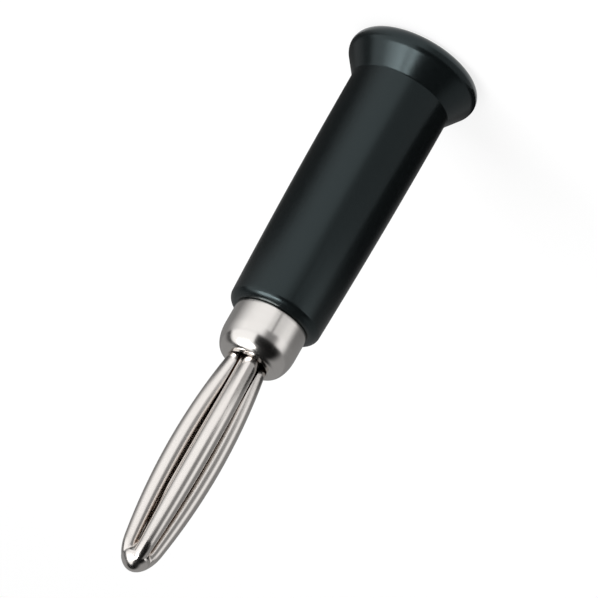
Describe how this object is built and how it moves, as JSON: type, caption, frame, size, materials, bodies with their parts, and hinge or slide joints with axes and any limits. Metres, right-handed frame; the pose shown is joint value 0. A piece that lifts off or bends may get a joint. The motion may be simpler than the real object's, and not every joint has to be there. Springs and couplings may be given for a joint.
{
  "type": "banana plug",
  "caption": "Straight banana plug with a flanged insulating handle, a metal collar and a bowed leaf contact that springs into a 4 mm socket.",
  "frame": {"origin": "centre of the flange's flat rear face, where the plug stands on its end", "axes": "+Z along the plug's axis, from the flange towards the nose; one leaf points along +Y"},
  "size_m": [0.0108, 0.0108, 0.0472],
  "materials": {
    "black_plastic": "semi-gloss moulded",
    "nickel_plate": "bright nickel plate on brass",
    "spring_nickel": "bright nickel plate on spring bronze"
  },
  "bodies": {
    "handle": {"handle": "black_plastic"},
    "plug": {"plug_body": "nickel_plate", "contact_spring": "spring_nickel"}
  },
  "joints": [
    {"name": "plug_draw", "type": "slide", "parent": "handle", "child": "plug", "axis": [0, 0, 1], "range_m": [0, 0.013]}
  ]
}
